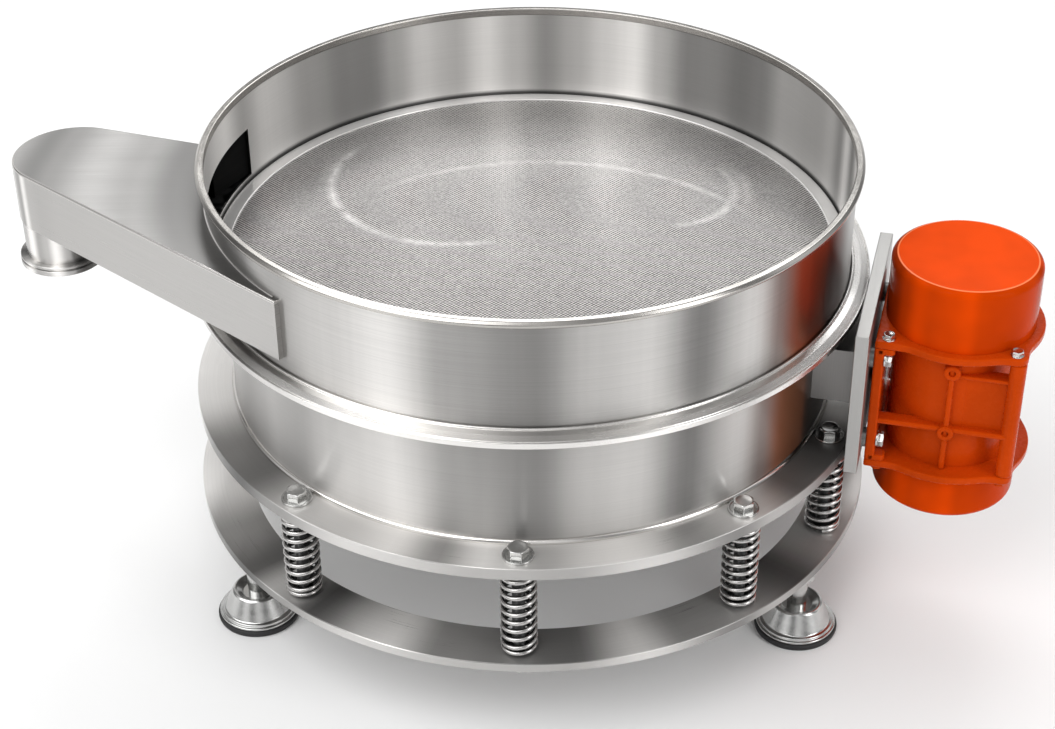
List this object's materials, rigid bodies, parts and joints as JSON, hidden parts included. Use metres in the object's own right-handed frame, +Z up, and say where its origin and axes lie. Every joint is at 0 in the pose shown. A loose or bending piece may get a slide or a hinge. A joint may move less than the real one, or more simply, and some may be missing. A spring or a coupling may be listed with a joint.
{
  "type": "round vibrating sifter",
  "caption": "Low round vibrating sifter: open drum with woven screen and side spout, on a sprung deck plate with an orange vibrator motor, above a base ring with levelling feet.",
  "frame": {"origin": "centre of the product outlet's mouth, on the drum's axis", "axes": "+Z up along the drum's axis; the motor stands on the +X side, the spout on the -X side and the picture looks along +Y"},
  "size_m": [1.2602, 0.8757, 0.575],
  "materials": {
    "polished_steel": "polished stainless steel",
    "satin_steel": "satin stainless steel sheet",
    "woven_mesh": "fine woven steel wire",
    "white_rubber": "pale moulded gasket",
    "brushed_plate": "ground stainless plate",
    "bright_bolts": "bright steel fasteners",
    "spring_steel": "bright spring wire",
    "foot_metal": "turned stainless steel",
    "black_rubber": "matt moulded rubber",
    "orange_paint": "glossy enamel",
    "orange_housing": "glossy enamel on cast metal",
    "black_plastic": "matt plastic",
    "stator_core": "varnished laminations and windings",
    "machined_steel": "machined steel",
    "cast_weights": "rough cast steel"
  },
  "bodies": {
    "base": {"base_ring": "brushed_plate", "spring_collars": "bright_bolts", "springs": "spring_steel", "foot_sockets": "bright_bolts", "foot_nuts": "bright_bolts"},
    "deck": {"rim_ring": "polished_steel", "upper_drum": "satin_steel", "spout_trough": "satin_steel", "spout_cover": "satin_steel", "spout_tube": "satin_steel", "spout_ferrule": "polished_steel", "screen_frame": "satin_steel", "screen_mesh": "woven_mesh", "screen_gasket": "white_rubber", "clamp_band": "polished_steel", "clamp_bolt": "bright_bolts", "clamp_nut": "bright_bolts", "lower_drum": "satin_steel", "discharge_cone": "satin_steel", "outlet_tube": "satin_steel", "outlet_ferrule": "polished_steel", "deck_plate": "brushed_plate", "motor_bracket": "brushed_plate", "motor_plate": "brushed_plate", "motor_spacers": "bright_bolts", "motor_bolts": "bright_bolts", "motor_washers": "bright_bolts", "motor_housing": "orange_housing", "upper_end_shield": "orange_paint", "lower_end_shield": "orange_paint", "shield_bolts": "bright_bolts", "shield_washers": "bright_bolts", "upper_cap": "orange_paint", "lower_cap": "orange_paint", "cap_seals": "black_rubber", "cap_screws": "bright_bolts", "terminal_cover": "orange_paint", "terminal_screws": "bright_bolts", "cable_gland": "black_plastic", "stator": "stator_core", "bearings": "machined_steel", "spring_bolts": "bright_bolts", "bolt_washers": "bright_bolts", "spring_nuts": "bright_bolts", "stop_washers": "bright_bolts", "stop_nuts": "bright_bolts"},
    "rotor": {"rotor_shaft": "machined_steel", "rotor_core": "machined_steel", "fixed_weights": "cast_weights"},
    "upper_adjustable_weight": {"upper_weight": "cast_weights"},
    "lower_adjustable_weight": {"lower_weight": "cast_weights"},
    "foot_1": {"foot_stem_1": "bright_bolts", "foot_pad_1": "foot_metal", "foot_sole_1": "black_rubber"},
    "foot_2": {"foot_stem_2": "bright_bolts", "foot_pad_2": "foot_metal", "foot_sole_2": "black_rubber"},
    "foot_3": {"foot_stem_3": "bright_bolts", "foot_pad_3": "foot_metal", "foot_sole_3": "black_rubber"}
  },
  "joints": [
    {"name": "deck_on_springs", "type": "slide", "parent": "base", "child": "deck", "axis": [0, 0, 1], "range_m": [-0.008, 0.005], "stiffness_N_per_m": 129600, "springref_m": 0.0083, "deforming": ["springs"]},
    {"name": "motor_shaft", "type": "hinge", "parent": "deck", "child": "rotor", "pos_m": [0.50976, -0.14137, 0.278], "axis": [0, 0, 1], "continuous": true},
    {"name": "upper_weight_setting", "type": "hinge", "parent": "rotor", "child": "upper_adjustable_weight", "pos_m": [0.50976, -0.14137, 0.404], "axis": [0, 0, 1], "range_deg": [0, 170]},
    {"name": "lower_weight_setting", "type": "hinge", "parent": "rotor", "child": "lower_adjustable_weight", "pos_m": [0.50976, -0.14137, 0.152], "axis": [0, 0, 1], "range_deg": [0, 170]},
    {"name": "foot_1_height", "type": "slide", "parent": "base", "child": "foot_1", "axis": [0, 0, 1], "range_m": [-0.01, 0.01]},
    {"name": "foot_2_height", "type": "slide", "parent": "base", "child": "foot_2", "axis": [0, 0, 1], "range_m": [-0.01, 0.01]},
    {"name": "foot_3_height", "type": "slide", "parent": "base", "child": "foot_3", "axis": [0, 0, 1], "range_m": [-0.01, 0.01]}
  ]
}
